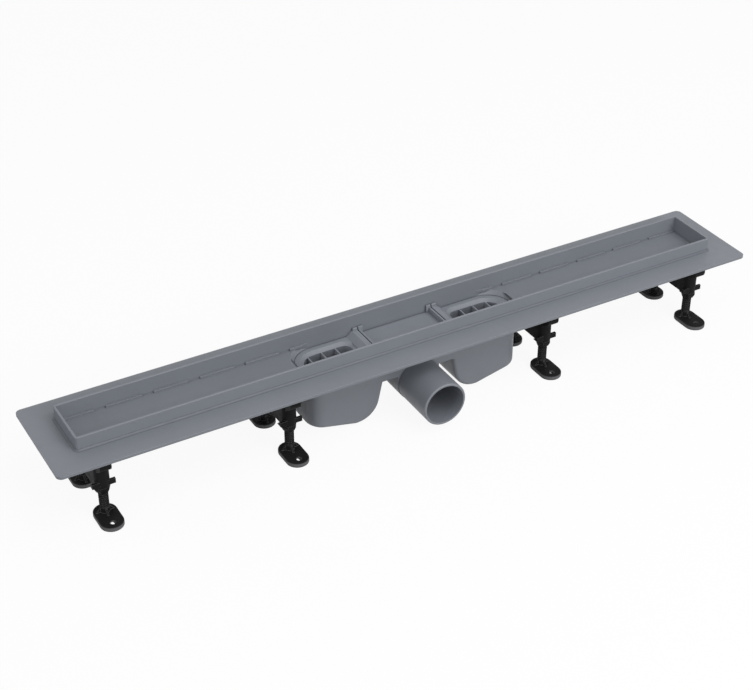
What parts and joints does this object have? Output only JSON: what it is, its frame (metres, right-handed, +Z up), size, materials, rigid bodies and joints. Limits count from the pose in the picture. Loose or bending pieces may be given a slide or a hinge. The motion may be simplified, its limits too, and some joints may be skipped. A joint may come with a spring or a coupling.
{
  "type": "linear shower drain",
  "caption": "Long moulded shower drain channel with a sealing flange, a raised rim, a trap with lift-out inserts, a side outlet spigot and screw-adjusted feet.",
  "frame": {"origin": "on the floor under the middle of the channel, centre of the foot screws", "axes": "+X along the channel, -Y the way the outlet points, +Z up"},
  "size_m": [0.826, 0.1403, 0.102],
  "materials": {
    "body_plastic": "satin",
    "insert_plastic": "satin",
    "leg_plastic": "semi-gloss",
    "seal_rubber": "matte"
  },
  "bodies": {
    "drain": {"channel_body": "body_plastic", "trap_insert_left": "insert_plastic", "trap_insert_right": "insert_plastic", "trap_seal_left": "seal_rubber", "trap_seal_right": "seal_rubber", "centre_cover": "insert_plastic", "cover_seal": "seal_rubber", "leg_bridge_1": "leg_plastic", "leg_bridge_2": "leg_plastic", "leg_bridge_3": "leg_plastic", "leg_bridge_4": "leg_plastic"},
    "foot_1_front": {"screw_foot_1_front": "leg_plastic"},
    "nut_1_front": {"adjusting_nut_1_front": "leg_plastic"},
    "foot_1_rear": {"screw_foot_1_rear": "leg_plastic"},
    "nut_1_rear": {"adjusting_nut_1_rear": "leg_plastic"},
    "foot_2_front": {"screw_foot_2_front": "leg_plastic"},
    "nut_2_front": {"adjusting_nut_2_front": "leg_plastic"},
    "foot_2_rear": {"screw_foot_2_rear": "leg_plastic"},
    "nut_2_rear": {"adjusting_nut_2_rear": "leg_plastic"},
    "foot_3_front": {"screw_foot_3_front": "leg_plastic"},
    "nut_3_front": {"adjusting_nut_3_front": "leg_plastic"},
    "foot_3_rear": {"screw_foot_3_rear": "leg_plastic"},
    "nut_3_rear": {"adjusting_nut_3_rear": "leg_plastic"},
    "foot_4_front": {"screw_foot_4_front": "leg_plastic"},
    "nut_4_front": {"adjusting_nut_4_front": "leg_plastic"},
    "foot_4_rear": {"screw_foot_4_rear": "leg_plastic"},
    "nut_4_rear": {"adjusting_nut_4_rear": "leg_plastic"}
  },
  "joints": [
    {"name": "foot_1_front_screw", "type": "slide", "parent": "drain", "child": "foot_1_front", "axis": [0, 0, 1], "range_m": [-0.02, 0.01]},
    {"name": "nut_1_front_turn", "type": "hinge", "parent": "drain", "child": "nut_1_front", "pos_m": [-0.3617, -0.0297, 0.03], "axis": [0, 0, 1], "range_deg": [-1440, 2880]},
    {"name": "foot_1_rear_screw", "type": "slide", "parent": "drain", "child": "foot_1_rear", "axis": [0, 0, 1], "range_m": [-0.02, 0.01]},
    {"name": "nut_1_rear_turn", "type": "hinge", "parent": "drain", "child": "nut_1_rear", "pos_m": [-0.3617, 0.0297, 0.03], "axis": [0, 0, 1], "range_deg": [-1440, 2880]},
    {"name": "foot_2_front_screw", "type": "slide", "parent": "drain", "child": "foot_2_front", "axis": [0, 0, 1], "range_m": [-0.02, 0.01]},
    {"name": "nut_2_front_turn", "type": "hinge", "parent": "drain", "child": "nut_2_front", "pos_m": [-0.158, -0.0297, 0.03], "axis": [0, 0, 1], "range_deg": [-1440, 2880]},
    {"name": "foot_2_rear_screw", "type": "slide", "parent": "drain", "child": "foot_2_rear", "axis": [0, 0, 1], "range_m": [-0.02, 0.01]},
    {"name": "nut_2_rear_turn", "type": "hinge", "parent": "drain", "child": "nut_2_rear", "pos_m": [-0.158, 0.0297, 0.03], "axis": [0, 0, 1], "range_deg": [-1440, 2880]},
    {"name": "foot_3_front_screw", "type": "slide", "parent": "drain", "child": "foot_3_front", "axis": [0, 0, 1], "range_m": [-0.02, 0.01]},
    {"name": "nut_3_front_turn", "type": "hinge", "parent": "drain", "child": "nut_3_front", "pos_m": [0.158, -0.0297, 0.03], "axis": [0, 0, 1], "range_deg": [-1440, 2880]},
    {"name": "foot_3_rear_screw", "type": "slide", "parent": "drain", "child": "foot_3_rear", "axis": [0, 0, 1], "range_m": [-0.02, 0.01]},
    {"name": "nut_3_rear_turn", "type": "hinge", "parent": "drain", "child": "nut_3_rear", "pos_m": [0.158, 0.0297, 0.03], "axis": [0, 0, 1], "range_deg": [-1440, 2880]},
    {"name": "foot_4_front_screw", "type": "slide", "parent": "drain", "child": "foot_4_front", "axis": [0, 0, 1], "range_m": [-0.02, 0.01]},
    {"name": "nut_4_front_turn", "type": "hinge", "parent": "drain", "child": "nut_4_front", "pos_m": [0.3617, -0.0297, 0.03], "axis": [0, 0, 1], "range_deg": [-1440, 2880]},
    {"name": "foot_4_rear_screw", "type": "slide", "parent": "drain", "child": "foot_4_rear", "axis": [0, 0, 1], "range_m": [-0.02, 0.01]},
    {"name": "nut_4_rear_turn", "type": "hinge", "parent": "drain", "child": "nut_4_rear", "pos_m": [0.3617, 0.0297, 0.03], "axis": [0, 0, 1], "range_deg": [-1440, 2880]}
  ],
  "couplings": [
    {"joint": "nut_1_front_turn", "follows": "foot_1_front_screw", "rad_per_m": -2513.3},
    {"joint": "nut_1_rear_turn", "follows": "foot_1_rear_screw", "rad_per_m": -2513.3},
    {"joint": "nut_2_front_turn", "follows": "foot_2_front_screw", "rad_per_m": -2513.3},
    {"joint": "nut_2_rear_turn", "follows": "foot_2_rear_screw", "rad_per_m": -2513.3},
    {"joint": "nut_3_front_turn", "follows": "foot_3_front_screw", "rad_per_m": -2513.3},
    {"joint": "nut_3_rear_turn", "follows": "foot_3_rear_screw", "rad_per_m": -2513.3},
    {"joint": "nut_4_front_turn", "follows": "foot_4_front_screw", "rad_per_m": -2513.3},
    {"joint": "nut_4_rear_turn", "follows": "foot_4_rear_screw", "rad_per_m": -2513.3}
  ]
}
